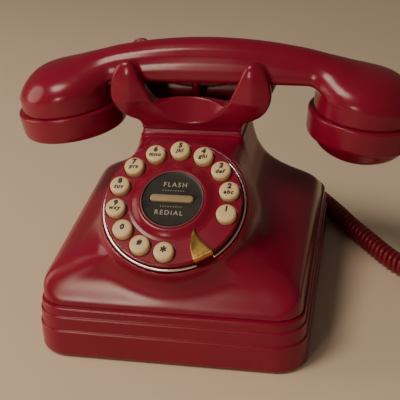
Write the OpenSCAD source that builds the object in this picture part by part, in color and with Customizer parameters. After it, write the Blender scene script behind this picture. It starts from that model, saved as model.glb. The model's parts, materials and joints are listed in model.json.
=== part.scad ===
// French-style cradle telephone with a push-button dial.
// Front of the telephone faces -Y, +X is to the right, +Z is up, millimetres.
// The origin is the middle of the pad under the base, on the table.

/* [Base] */
// Width of the plinth
base_w = 146; // [144:1:150]
// Depth of the plinth
base_d = 180; // [176:1:186]
// Corner radius of the plinth in plan
base_r = 17; // [16.5:0.5:19]
// Height of the first tier of the plinth
tier1_z = 16; // [15.5:0.1:17]
// Height of the second tier
tier2_z = 24; // [23:0.1:25]
// Wall thickness of the housing
wall = 2.6; // [2.2:0.1:3]

/* [Dial] */
// Slope of the dial from the horizontal
dial_tilt = 34.5; // [34:0.1:35]
// Depth of the dial centre, at the level of the key tops
dial_y = -58; // [-58.5:0.1:-57.5]
// Height of the dial centre, at the level of the key tops
dial_z = 83; // [82.5:0.1:83.5]
// Radius of the circle of keys
key_circle_r = 30; // [29.8:0.1:30.2]
// Diameter of a key
key_d = 10.6; // [10:0.1:10.8]

/* [Handset] */
// How far the handset lies to the right of the middle of the cradle
handset_shift = 10; // [8:0.1:10]
// Depth of the handset's middle plane
handset_y = 16; // [15.9:0.05:16.1]
// Height of the underside of the grip above the table
grip_z = 123.2; // [123.1:0.1:124]
// Distance of each cap from the middle of the handset
cap_x = 83.6; // [83.6:0.1:85]
// Inward tilt of each cap
cap_tilt = 7.4; // [7:0.1:8]
// Outer radius of the caps
cap_r = 31.4; // [31.2:0.1:31.5]
// Height of the caps
cap_h = 14.9; // [14.6:0.1:15]

/* [Cord] */
// Outer diameter of the curly cord
cord_d = 12.4; // [11:0.1:12.5]

/* [Hidden] */
$fn = 48;

red = [0.55, 0.05, 0.12];
dark_red = [0.45, 0.04, 0.1];
cream = [0.93, 0.88, 0.75];
black = [0.09, 0.09, 0.09];
gold = [0.83, 0.65, 0.27];
steel = [0.62, 0.63, 0.65];
green = [0.1, 0.35, 0.2];
grey = [0.35, 0.35, 0.36];

plinth_z = 29;                       // top of the plinth
neck_z = 97;                         // top of the neck, under the cradle
key_step = 360 / 14;                 // 14 places, 12 of them keys
screw_xy = [[60, 76], [-60, 76], [60, -76], [-60, -76]];
boss_xy = [[55, 48], [-55, 48], [55, -68], [-55, -68]];
cradle_screw_xy = [[15, 4], [-15, 4], [15, 28], [-15, 28]];
board_xy = [[-38, 12], [38, 12], [-38, 58], [38, 58]];
post_a = [45, 135, 225, 315];        // angles of the posts under the dial plate
jack_x = -2;                         // handset cord jack
line_x = -26;                        // telephone line jack
slide_x = [44, -45];                 // slide switches

// ---- profiles -----------------------------------------------------------
// front view of the flared body, right half, [x, z]
bell = [[70.7, 10], [70.7, 36.4], [70.3, 41.2], [69.2, 45], [67, 48.4], [63.4, 51.4], [58.6, 54.2],
  [52.6, 57.4], [46.9, 61.2], [41.6, 66.2], [37.7, 71.4], [33.9, 79.4], [31, 88], [29.2, 96], [28.6, 110]];
bell_slope = 3.3;                    // the shoulders rise towards the back
// side view of the body, [y, z]
side_front = [[-85.5, 29], [-83.6, 32.5], [-80.5, 38], [-78, 44], [-76.5, 50], [-75.9, 56.1],
  [-23.2, 92.3], [-13, 93.6], [-3, 94.2], [-1.6, 95], [-1.6, 97]];
side_rear = [[33.6, 97], [33.6, 92], [34.4, 84], [36.4, 76], [39.4, 69], [42.6, 63], [45.4, 58], [47.8, 53.4],
  [50.6, 48.6], [55, 43.2], [61.6, 38.4], [70, 34.4], [78, 31.6], [85.5, 29]];
// front view of the cradle, right half, [x, z]: its outside, from the neck up to the tip of a prong
cradle_outside = [[28.6, 97], [28.6, 100], [30, 102.8], [34.5, 104.4], [39, 107], [42.6, 110.6], [44.6, 115],
  [45.2, 119], [45, 123], [43.4, 129.4], [41.2, 134], [38.8, 136.6], [36, 137.4]];
// the opening between the front prongs and the one between the rear prongs, from the middle to the tip
front_scoop = [[0, 115], [14, 115], [19, 115.2], [21.6, 116.4], [23.6, 119], [25.4, 122.4], [27.2, 126.6],
  [28.8, 130.8], [30.2, 134], [32, 136.6], [33.8, 137.9]];
rear_scoop = [[0, 114.6], [8, 114.8], [14, 115.8], [18, 117.4], [21.6, 120.2], [24.4, 124.2], [26.6, 129],
  [28.2, 133.8], [31, 136.6], [33.4, 137.9]];
dish_r = 36;                         // the shallow dish in the front of the cradle, and how far it leans back
dish_lean = 28.4;
// side view of the cradle, one half, [distance from the middle plane, z]; the rear prongs stand higher
cradle_side = [[0, 106.4], [4, 106.7], [7, 108.6], [9, 112], [10.2, 115.4], [12.6, 119.2], [13.8, 122.4], [14.4, 128],
  [15.2, 132.6], [16.3, 135.9], [17.8, 137.4], [19.2, 137], [20.8, 134.6], [22, 130.6], [22.4, 126],
  [22.4, 119], [21.8, 112], [20.4, 105], [18, 99.5], [17.6, 97]];
// section of the grip, half, [distance from the middle plane, height]
grip_section = [[0, 0], [9.5, 0], [11.9, 1.2], [13, 3.8], [13.2, 7], [12.8, 11], [11.6, 15.5], [9.4, 19.2],
  [6.4, 21.6], [3, 22.8], [0, 23]];
grip_arch_r = 196;                   // radius of the grip's back in side view
function arch(x) = 23 - x * x / (2 * grip_arch_r);
grip_side = concat([for (x = [-95:10:95]) [x, arch(x)]],
  [[95, -6], [62, -6], [59, -5], [56.4, -1.6], [53, 0], [-53, 0], [-56.4, -1.6], [-59, -5], [-62, -6], [-95, -6]]);
cap_in = 28.6;                       // inner radius of the caps
cap_z = -32.4;                       // lower rim of the caps, from the underside of the grip
dome_h = 27;                         // height of the dome above each cap
dome_r = 30;                         // radius of the dome where it meets the cap

// ---- helpers ------------------------------------------------------------
function mirrored(p) = concat(p, [for (i = [len(p) - 1:-1:0]) [-p[i][0], p[i][1]]]);
function capped(p, z) = let (x = p[len(p) - 1][0]) concat(p, [[x, z], [-x, z]], [for (i = [len(p) - 1:-1:1]) [-p[i][0], p[i][1]]]);
function raised(p) = [for (q = p) q[1] > 128 ? [q[0], 128 + (q[1] - 128) * 1.21] : q];
function shifted(p, dx, dz) = [for (q = p) [q[0] + dx, q[1] + dz]];
module rrect(w, d, r) {
  square([w - 2 * r, d], center = true);
  square([w, d - 2 * r], center = true);
  for (x = [-1, 1], y = [-1, 1]) translate([x * (w / 2 - r), y * (d / 2 - r)]) circle(r);
}
module block(w, d, r, z0, z1) translate([0, 0, z0]) linear_extrude(z1 - z0) rrect(w, d, r);
module at_dial() translate([0, dial_y, dial_z]) rotate([dial_tilt, 0, 0]) children();
module at_handset() translate([handset_shift, handset_y, grip_z]) children();
// frame of a cap: its z axis points up out of the handset's end, side is -1 left or 1 right
module at_cap(side) at_handset() translate([side * cap_x, 0, cap_z]) rotate([0, side * cap_tilt, 0]) children();
module tube(r1, r0, z0, z1) translate([0, 0, z0]) difference() {
  cylinder(r = r1, h = z1 - z0);
  translate([0, 0, -1]) cylinder(r = r0, h = z1 - z0 + 2);
}
module along_x(len) rotate([90, 0, 90]) linear_extrude(len, center = true) children();
module along_y(len) rotate([90, 0, 0]) linear_extrude(len, center = true) children();

// ---- base ---------------------------------------------------------------
module base_pad() color(black) difference() {
  block(110, 140, 12, 0, 1.5);
  translate([-28, -34, -1]) cylinder(r = 17, h = 4);
}

module base_plate() color(grey) difference() {
  union() {
    block(base_w - 8.6, base_d - 14.6, base_r - 4.3, 1.5, 4);
    for (p = board_xy) translate([p[0], p[1], 4]) cylinder(r = 3, h = 5);
  }
  for (p = screw_xy) translate([p[0], p[1], 0]) {
    cylinder(r = 1.6, h = 10);
    cylinder(r = 3.2, h = 3.1);
  }
  for (p = board_xy) translate([p[0], p[1], 3]) cylinder(r = 1.05, h = 10);
  for (a = [0:45:315]) translate([-28, -34, 0]) rotate([0, 0, a]) translate([9, 0, 0]) cylinder(r = 1.5, h = 8);
  translate([-28, -34, 0]) cylinder(r = 1.5, h = 8);
}

module base_screws() color(steel) for (p = screw_xy) translate([p[0], p[1], 0]) {
  difference() {
    translate([0, 0, 1.7]) cylinder(r = 2.8, h = 1.4);
    for (a = [0, 90]) rotate([0, 0, a]) translate([-1.6, -0.35, 1]) cube([3.2, 0.7, 1.5]);
  }
  translate([0, 0, 3]) cylinder(r = 1.4, h = 12);
}

module plinth() color(red) difference() {
  union() {
    difference() {
      union() {
        block(base_w, base_d, base_r, 0.3, tier1_z);
        block(base_w - 1.6, base_d - 2.8, base_r - 1, tier1_z - 1, tier2_z);
        block(base_w - 3, base_d - 5.6, base_r - 1.5, tier2_z - 1, plinth_z);
      }
      block(base_w - 8, base_d - 14, base_r - 4, -1, 40);
    }
    for (p = screw_xy) translate([p[0], p[1], 4]) cylinder(r = 4.6, h = 18);
    // ribs that tie the screw bosses to the side walls
    for (p = screw_xy) translate([p[0] > 0 ? p[0] : -69.2, p[1] - 1.5, 4]) cube([9.2, 3, 18]);
    for (p = boss_xy) translate([p[0] > 0 ? 49 : 3 - base_w / 2, p[1] - 5, 26]) cube([base_w / 2 - 52, 10, 3]);
  }
  for (p = screw_xy) translate([p[0], p[1], 3]) cylinder(r = 1.45, h = 15);
  for (p = boss_xy) translate([p[0], p[1], 20]) cylinder(r = 1.6, h = 20);
  // openings for the two jacks and the two slide switches in the rear wall
  for (x = [jack_x, line_x]) translate([x - 6.6, 70, 4.4]) cube([13.2, 30, 10.8]);
  for (x = slide_x) translate([x - 7, 70, 8]) cube([14, 30, 4]);
}

// outer form of the flared body, or its inside when t is the wall
module body_form(t) intersection() {
  translate([0, 25, 50]) rotate([bell_slope, 0, 0]) translate([0, 0, -50])
    along_y(320) polygon(mirrored(concat([[bell[0][0] - t, 0]], shifted(bell, -t, -0.8 * t))));
  along_x(200) polygon(t > 0
    ? concat([[-85.5 + 0.8 * t, 20]], shifted(side_front, 0.8 * t, -0.8 * t), shifted(side_rear, -0.8 * t, -0.8 * t), [[85.5 - 0.8 * t, 20]])
    : concat(side_front, side_rear));
  block(base_w - 4.6 - 2 * t, base_d - 9 - 2 * t, base_r - 2 - t, 10, 120);
}

module upper_housing() color(red) difference() {
  union() {
    difference() {
      union() {
        body_form(0);
        at_dial() translate([0, 0, -24]) cylinder(r = 40.6, h = 16.2, $fn = 96);
      }
      difference() {
        body_form(wall);
        for (p = boss_xy) translate([p[0], p[1], 20]) cylinder(r = 4.6, h = 40);
      }
    }
    // collar that carries the dial inside the housing
    intersection() {
      at_dial() tube(40.6, 38.4, -24, -8);
      block(base_w - 5, base_d - 9, base_r - 2, 30, 120);
    }
  }
  at_dial() translate([0, 0, -40]) cylinder(r = 34.5, h = 60, $fn = 96);
  at_dial() translate([0, 0, -9]) cylinder(r = 38.8, h = 20, $fn = 96);
  at_dial() translate([0, 0, -40]) cylinder(r = 38.4, h = 29, $fn = 96);
  translate([-22.5, 7, 88]) cube([45, 18, 20]);
  for (p = cradle_screw_xy) translate([p[0], p[1], 90]) cylinder(r = 1.4, h = 10);
  for (p = boss_xy) translate([p[0], p[1], 20]) cylinder(r = 1.3, h = 20);
}

module housing_screws() color(steel) for (p = boss_xy) translate([p[0], p[1], 0]) {
  translate([0, 0, 24.4]) cylinder(r = 2.8, h = 1.6);
  translate([0, 0, 25.5]) cylinder(r = 1.25, h = 12);
}

// one half of the cradle: its outside seen from the front, the opening between its two prongs and its side view
module cradle_half(outside, scoop, side) difference() {
  intersection() {
    along_y(120) polygon(mirrored(outside));
    along_x(120) polygon(concat([[0, 97]], side));
  }
  along_y(200) polygon(capped(scoop, 170));
}

module cradle() color(red) difference() {
  translate([0, handset_y, 0]) union() {
    mirror([0, 1, 0]) cradle_half(cradle_outside, front_scoop, cradle_side);
    cradle_half(raised(cradle_outside), raised(rear_scoop), raised(cradle_side));
  }
  translate([0, handset_y, 90]) cylinder(r = 2.45, h = 30);
  translate([0, handset_y - 50.6, 119.1]) rotate([-dish_lean, 0, 0]) cylinder(r = dish_r, h = 120, center = true);
  // room for the caps beside the prongs
  for (x = [handset_shift - cap_x, cap_x - handset_shift]) translate([x, handset_y, 90]) cylinder(r = cap_r + 0.6, h = 60);
  for (p = cradle_screw_xy) translate([p[0], p[1], 90]) cylinder(r = 1.3, h = p[1] > 10 ? 13 : 12);
}

module cradle_screws() color(steel) for (p = cradle_screw_xy) translate([p[0], p[1], 0]) {
  translate([0, 0, 93.3]) cylinder(r = 2.3, h = 1.5);
  translate([0, 0, 94.5]) cylinder(r = 1.25, h = 6.5);
}

// ---- dial ---------------------------------------------------------------
// places of the keys: "1" is just under the right-hand end, then anticlockwise
module at_key(i) at_dial() rotate([0, 0, -key_step / 2 + i * key_step]) translate([key_circle_r, 0, 0]) children();

module key(i) color(cream) at_key(i) {
  rotate_extrude() polygon([[0, 0], [key_d / 2 - 1.6, -0.15], [key_d / 2 - 0.5, -0.6], [key_d / 2, -1.5],
    [key_d / 2, -6.3], [3, -6.3], [3, -9], [0, -9]]);
  // ear that keeps the key under the plate
  translate([-6.6, -1.6, -7.1]) cube([3.6, 3.2, 1.2]);
}
module key_1() key(0);
module key_2() key(1);
module key_3() key(2);
module key_4() key(3);
module key_5() key(4);
module key_6() key(5);
module key_7() key(6);
module key_8() key(7);
module key_9() key(8);
module key_0() key(9);
module key_hash() key(10);
module key_star() key(11);

module dial_plate() color(red) at_dial() difference() {
  union() {
    translate([0, 0, -5.6]) cylinder(r = 36.4, h = 2.4, $fn = 96);
    tube(36.4, 35.75, -9, -5.4);
    tube(20, 16.9, -5, -1.2);
    for (a = post_a) rotate([0, 0, a]) translate([21.1, 0, -13]) cylinder(r = 1.9, h = 8);
  }
  for (i = [0:11]) rotate([0, 0, -key_step / 2 + i * key_step]) translate([key_circle_r, 0, -10]) cylinder(r = key_d / 2 + 0.3, h = 20);
  translate([0, 0, -10]) cylinder(r = 16.9, h = 20);
  for (a = post_a) rotate([0, 0, a]) translate([21.1, 0, -14]) cylinder(r = 1, h = 7);
}

module trim_ring() color(steel) at_dial()
  rotate_extrude($fn = 96) polygon([[36.7, -9], [36.7, -7.4], [37, -6.7], [37.6, -6.4], [38.2, -6.7], [38.5, -7.4], [38.5, -9]]);

module finger_stop() color(gold) at_dial() translate([0, 0, -3.2]) linear_extrude(2.8)
  polygon([[13.5, -15.9], [12.9, -20], [13.1, -24], [14.3, -29], [16.2, -33.2], [20.4, -31.6], [24, -28.7],
    [21.5, -25.5], [18.6, -23], [16.3, -20.8], [14.8, -18.2]]);

module centre_disc() color(black) at_dial() difference() {
  union() {
    translate([0, 0, -7.2]) cylinder(r = 18.4, h = 1.6);
    translate([0, 0, -5.8]) cylinder(r = 16.6, h = 5.2);
  }
  translate([-12.1, -3, -9]) cube([24.2, 6, 20]);
  translate([-14, 0, -2.2]) rotate([0, 90, 0]) cylinder(r = 0.75, h = 28);
}

module function_rocker() color(cream) at_dial() {
  translate([0, 0, -4]) linear_extrude(4.4) {
    square([19, 4.8], center = true);
    for (x = [-9.4, 9.4]) translate([x, 0]) circle(2.4);
  }
  for (x = [-13.3, 9]) translate([x, 0, -2.2]) rotate([0, 90, 0]) cylinder(r = 0.7, h = 4.3);
}

module key_mat() color(grey) at_dial() {
  tube(34.2, 23.6, -13, -12.2);
  for (i = [0:11]) rotate([0, 0, -key_step / 2 + i * key_step]) translate([key_circle_r, 0, -12.3]) cylinder(r = 3, h = 0.9);
}

module key_board() color(green) at_dial() difference() {
  translate([0, 0, -14.6]) cylinder(r = 34.2, h = 1.6);
  for (a = post_a) rotate([0, 0, a]) translate([21.1, 0, -16]) cylinder(r = 1, h = 5);
}

module dial_screws() color(steel) at_dial() for (a = post_a) rotate([0, 0, a]) translate([21.1, 0, 0]) {
  translate([0, 0, -16]) cylinder(r = 1.9, h = 1.4);
  translate([0, 0, -15]) cylinder(r = 0.95, h = 7);
}

// ---- inside the base ----------------------------------------------------
module main_board() color(green) difference() {
  translate([-44, 6, 9]) cube([88, 58, 1.6]);
  for (p = board_xy) translate([p[0], p[1], 5]) cylinder(r = 1.1, h = 10);
}

module board_screws() color(steel) for (p = board_xy) translate([p[0], p[1], 0]) {
  translate([0, 0, 10.6]) cylinder(r = 2, h = 1.4);
  translate([0, 0, 5]) cylinder(r = 1, h = 6);
}

module ballast() color(steel) translate([10, -66, 4]) cube([44, 60, 8]);

module ringer_speaker() color(black) translate([-28, -34, 4]) {
  tube(20, 14, 0, 3);
  translate([0, 0, 3]) cylinder(r = 20, h = 4);
  translate([0, 0, 7]) cylinder(r = 11, h = 6);
}

module line_jack() color(black) translate([line_x, 0, 0]) difference() {
  translate([-6.5, 73, 4.5]) cube([13, 17, 10.6]);
  translate([-4.9, 78, 6.4]) cube([9.8, 20, 6.8]);
}

module cord_jack() color(black) translate([jack_x, 0, 0]) difference() {
  translate([-6.5, 73, 4.5]) cube([13, 17, 10.6]);
  translate([-3.9, 78, 6.3]) cube([7.8, 20, 6.6]);
}

module slide_knob(x) color(black) difference() {
  translate([x - 2.5, 80.4, 8.5]) cube([5, 11, 3]);
  for (d = [-1.5, 0, 1.5]) translate([x + d - 0.25, 91, 8]) cube([0.5, 1, 4]);
}
module ringer_switch() slide_knob(slide_x[0]);
module tone_switch() slide_knob(slide_x[1] + 2);
module switch_bodies() color(grey) for (x = slide_x) translate([x - 8, 72, 5]) cube([16, 8, 10]);

// ---- hook switch --------------------------------------------------------
module hook_plunger() color(dark_red) translate([0, handset_y, 0]) {
  rotate_extrude() polygon([[0, 86], [1.5, 86], [1.5, 91], [2.4, 91], [2.4, 121.8], [1.9, 122.6], [1, 122.9], [0, 122.9]]);
}

module hook_bracket() color(steel) difference() {
  union() {
    for (y = [-6.6, 4.6]) translate([-22, handset_y + y, 80]) cube([7, 2, 17]);
    translate([-22, handset_y + 4.6, 66]) cube([38, 2, 20]);
    // bridge between the two cheeks
    translate([-22, handset_y - 6.6, 89]) cube([2, 13.2, 8]);
  }
  translate([-18, handset_y - 10, 84]) rotate([-90, 0, 0]) cylinder(r = 1.5, h = 20);
}

module hook_lever() color(steel) difference() {
  union() {
    translate([-18, handset_y - 4, 82.5]) cube([22, 8, 3]);
    translate([-18, handset_y + 4, 84]) rotate([90, 0, 0]) cylinder(r = 2.6, h = 8);
  }
  translate([-18, handset_y - 10, 84]) rotate([-90, 0, 0]) cylinder(r = 1.55, h = 20);
}

module hook_pin() color(steel) translate([-18, handset_y - 7.4, 84]) rotate([-90, 0, 0]) cylinder(r = 1.5, h = 14.8);

module hook_switch() color(black) translate([-8, handset_y - 2, 69]) {
  cube([20, 6.6, 11]);
  translate([5, 3.3, 11]) cylinder(r = 1.2, h = 2.1);
}

// ---- handset ------------------------------------------------------------
// quarter ellipse for the domes, from the rim to the top
function dome_points(r, h, n = 10) = [for (i = [0:n]) [r * cos(90 * i / n), h * sin(90 * i / n)]];
module dome(r, h, z) translate([0, 0, z]) rotate_extrude($fn = 96) polygon(concat([[0, 0]], dome_points(r, h)));

module handset_grip() color(red) difference() {
  union() {
    at_handset() intersection() {
      along_y(60) polygon(grip_side);
      along_x(200) polygon(mirrored(grip_section));
    }
    for (s = [-1, 1]) at_cap(s) {
      dome(dome_r, dome_h, cap_h);
      translate([0, 0, 7]) cylinder(r = cap_in - 0.3, h = cap_h - 6.5, $fn = 96);
    }
    // flat boss round the cord socket
    at_cap(1) translate([22, -7.5, cap_h + 0.3]) cube([8.5, 15, 13.9]);
  }
  for (s = [-1, 1]) at_cap(s) {
    dome(dome_r - 2.6, dome_h - 2.6, cap_h);
    translate([0, 0, 0]) cylinder(r = cap_in - 2.6, h = cap_h + 0.5, $fn = 96);
  }
  at_handset() intersection() {
    translate([-85, -7.4, 3.4]) cube([170, 14.8, 30]);
    along_y(60) polygon(concat([for (x = [-95:10:95]) [x, arch(x) - 3.4]], [[95, -20], [-95, -20]]));
  }
  at_cap(1) translate([10, -5.6, cap_h + 1.3]) cube([40, 11.2, 11.4]);
}

// hollow cap with a dished or a domed face
module cap_ring() rotate_extrude($fn = 96) polygon([[cap_in, 2.4], [cap_in, cap_h], [cap_r, cap_h], [cap_r + 0.2, cap_h - 1.2],
  [cap_r - 0.4, 2.2], [cap_r - 1.4, 0.5], [cap_r - 3, 0], [cap_in - 1.4, 0.2], [cap_in - 1.4, 2.4]]);

module earpiece_cap() color(red) at_cap(-1) difference() {
  union() {
    cap_ring();
    rotate_extrude($fn = 96) polygon([[0, 2.4], [0, 5], [22, 4.2], [cap_in - 1.3, 3.2], [cap_in, 2.9], [cap_in, 0.1], [cap_in - 1.5, 0.2], [20, 1.2]]);
  }
  for (a = [0:60:300]) rotate([0, 0, a]) translate([8, 0, -2]) cylinder(r = 1.6, h = 12);
  translate([0, 0, -2]) cylinder(r = 1.6, h = 12);
}

module mouthpiece_cap() color(red) at_cap(1) difference() {
  union() {
    cap_ring();
    rotate_extrude($fn = 96) polygon([[cap_in, 0.1], [27.2, -0.6], [25.8, -2.6], [23.4, -6], [19.2, -9.2], [13.4, -11.6], [6.7, -12.8], [0, -13.2],
      [0, -10.6], [6.7, -10.2], [12.8, -9], [18, -6.8], [21.6, -4], [23.9, -0.6], [25.2, 2.4], [cap_in, 2.4]]);
  }
  for (a = [0:60:300]) rotate([0, 0, a]) translate([8, 0, -20]) cylinder(r = 1.5, h = 14);
  translate([0, 0, -20]) cylinder(r = 1.5, h = 14);
}

module receiver_capsule() color(steel) at_cap(-1) {
  translate([0, 0, 6.2]) cylinder(r = 25, h = 5);
  translate([0, 0, 11.2]) cylinder(r = 14, h = 6);
}
module ear_gasket() color(black) at_cap(-1) tube(25, 22.4, 4.4, 6.2);
module microphone_capsule() color(steel) at_cap(1) translate([0, 0, -6]) cylinder(r = 8.9, h = 9);
module mic_holder() color(black) at_cap(1) tube(23.2, 9, -0.4, 3);
module handset_weight() color(steel) at_handset() translate([-40, -6, 3.4]) cube([80, 12, 7]);
module handset_jack() color(black) at_cap(1) difference() {
  translate([14, -5.5, cap_h + 1.4]) cube([16.5, 11, 11.2]);
  translate([19, -3.9, cap_h + 3.7]) cube([20, 7.8, 6.6]);
}

// ---- curly cord ---------------------------------------------------------
module cord_plug_base() color(grey) translate([jack_x, 0, 0]) translate([-3.8, 79, 6.4]) cube([7.6, 14, 6.4]);
module cord_plug_handset() color(grey) at_cap(1) translate([20, -3.8, cap_h + 3.8]) cube([14, 7.6, 6.4]);

// middle line of the cord, from the base to the handset
cord_route = [[-2, 93.2, 9.6], [-2, 97, 9.6], [-1.2, 105, 9], [2, 114, 8], [8.2, 121.8, 6.8], [16.4, 127.4, 6.4], [25.8, 129.9, 6.4],
  [35.5, 128.9, 6.4], [44.4, 124.9, 6.4], [52.1, 118.5, 6.4], [60, 110.1, 6.4], [67.4, 99.6, 6.4], [74.7, 88.4, 6.4],
  [81.9, 76.8, 6.4], [88.7, 64.6, 6.4], [96.4, 52.8, 6.4], [104.2, 40.9, 6.4], [112, 29, 6.4], [120.5, 18.5, 6.6],
  [130, 9.5, 8.4], [140.5, 3.5, 13], [150.5, 0.5, 20.5], [158.5, 0, 31], [164, 2, 43.5], [166.5, 5, 57.5], [166, 8.5, 71.5],
  [162, 12, 85], [155, 14.6, 95.5], [146, 15.6, 102.4], [138.5, 16, 106.2], [130.5, 16, 108.1]];
function spline(p0, p1, p2, p3, t) = 0.5 * (2 * p1 + (p2 - p0) * t + (2 * p0 - 5 * p1 + 4 * p2 - p3) * t * t + (3 * p1 - p0 - 3 * p2 + p3) * t * t * t);
function at_or(p, i) = i < 0 ? 2 * p[0] - p[1] : i >= len(p) ? 2 * p[len(p) - 1] - p[len(p) - 2] : p[i];
function smooth(p, n) = concat([for (i = [0:len(p) - 2], k = [0:n - 1]) spline(at_or(p, i - 1), p[i], p[i + 1], at_or(p, i + 2), k / n)], [p[len(p) - 1]]);
function unit(v) = v / norm(v);
function direction(p, i) = unit(at_or(p, i + 1) - at_or(p, i - 1));
function carried(p, i) = i == 0 ? unit(cross(direction(p, 0), [1, 0, 0])) :
  let (n = carried(p, i - 1), t = direction(p, i)) unit(n - (n * t) * t);
module sweep(p, r, sides) {
  ring = [for (i = [0:len(p) - 1]) let (t = direction(p, i), n = carried(p, i), b = cross(t, n))
    for (k = [0:sides - 1]) p[i] + r * (cos(360 * k / sides) * n + sin(360 * k / sides) * b)];
  last = (len(p) - 1) * sides;
  polyhedron(ring, concat(
    [[for (k = [0:sides - 1]) sides - 1 - k]],
    [for (i = [0:len(p) - 2], k = [0:sides - 1]) [i * sides + k, i * sides + (k + 1) % sides, (i + 1) * sides + (k + 1) % sides, (i + 1) * sides + k]],
    [[for (k = [0:sides - 1]) last + k]]), convexity = 6);
}
module curly_cord() color(dark_red) sweep(smooth(cord_route, 2), cord_d / 2, 10);

base_pad();
base_plate();
base_screws();
plinth();
upper_housing();
housing_screws();
cradle();
cradle_screws();
dial_plate();
trim_ring();
finger_stop();
centre_disc();
function_rocker();
key_1();
key_2();
key_3();
key_4();
key_5();
key_6();
key_7();
key_8();
key_9();
key_0();
key_hash();
key_star();
key_mat();
key_board();
dial_screws();
main_board();
board_screws();
ballast();
ringer_speaker();
hook_plunger();
hook_bracket();
hook_lever();
hook_pin();
hook_switch();
line_jack();
cord_jack();
cord_plug_base();
curly_cord();
cord_plug_handset();
handset_grip();
earpiece_cap();
mouthpiece_cap();
receiver_capsule();
microphone_capsule();
ear_gasket();
mic_holder();
handset_weight();
handset_jack();
ringer_switch();
tone_switch();
switch_bodies();
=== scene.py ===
import json
import math

import bpy
import bmesh
import numpy as np
from mathutils import Matrix, Vector


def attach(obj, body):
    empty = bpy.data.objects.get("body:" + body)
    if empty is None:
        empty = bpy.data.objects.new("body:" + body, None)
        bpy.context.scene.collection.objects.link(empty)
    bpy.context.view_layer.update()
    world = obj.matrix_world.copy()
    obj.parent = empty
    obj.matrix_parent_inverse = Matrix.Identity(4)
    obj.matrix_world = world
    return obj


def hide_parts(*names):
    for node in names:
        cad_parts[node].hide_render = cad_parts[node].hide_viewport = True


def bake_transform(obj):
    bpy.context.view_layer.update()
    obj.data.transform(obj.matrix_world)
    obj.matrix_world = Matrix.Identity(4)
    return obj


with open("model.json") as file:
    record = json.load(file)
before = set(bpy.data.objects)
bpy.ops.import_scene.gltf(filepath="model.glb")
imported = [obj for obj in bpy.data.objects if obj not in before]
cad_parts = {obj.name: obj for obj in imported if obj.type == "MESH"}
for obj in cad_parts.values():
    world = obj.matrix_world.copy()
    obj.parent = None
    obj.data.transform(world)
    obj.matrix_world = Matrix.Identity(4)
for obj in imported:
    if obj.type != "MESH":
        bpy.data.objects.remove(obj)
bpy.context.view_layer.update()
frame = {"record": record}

MM = 0.001
scene = bpy.context.scene
rad = math.radians


# ---------------------------------------------------------------- camera
AZ, EL, ROLL = rad(11.75), rad(27.0), rad(-2.37)
back = Vector((math.sin(AZ) * math.cos(EL), -math.cos(AZ) * math.cos(EL), math.sin(EL)))
right0 = Vector((math.cos(AZ), math.sin(AZ), 0.0))
up0 = back.cross(right0)
right = math.cos(ROLL) * right0 + math.sin(ROLL) * up0
up = -math.sin(ROLL) * right0 + math.cos(ROLL) * up0
cam_at = Vector((0.1020, -0.4765, 0.3006))
cam_data = bpy.data.cameras.new("camera")
cam_data.sensor_width = 36.0
cam_data.lens = 36.0 * 930.0 / 400.0
cam_data.clip_start = 0.01
cam_data.clip_end = 50.0
camera = bpy.data.objects.new("camera", cam_data)
scene.collection.objects.link(camera)
camera.matrix_world = Matrix((
    (right.x, up.x, back.x, cam_at.x),
    (right.y, up.y, back.y, cam_at.y),
    (right.z, up.z, back.z, cam_at.z),
    (0, 0, 0, 1)))
scene.camera = camera


# ---------------------------------------------------------------- frames of the dial and the handset, in millimetres
DIAL_TILT = rad(34.5)
DIAL = Matrix.Translation((0, -58, 83)) @ Matrix.Rotation(DIAL_TILT, 4, "X")
HANDSET = Matrix.Translation((10, 16, 123.2))
CAP = {s: HANDSET @ Matrix.Translation((s * 83.6, 0, -32.4)) @ Matrix.Rotation(s * rad(7.4), 4, "Y") for s in (-1, 1)}
KEY_STEP = 360 / 14
KEYS = ["1", "2", "3", "4", "5", "6", "7", "8", "9", "0", "hash", "star"]
LETTERS = {"2": "abc", "3": "def", "4": "ghi", "5": "jkl", "6": "mno", "7": "prs", "8": "tuv", "9": "wxy"}


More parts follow.
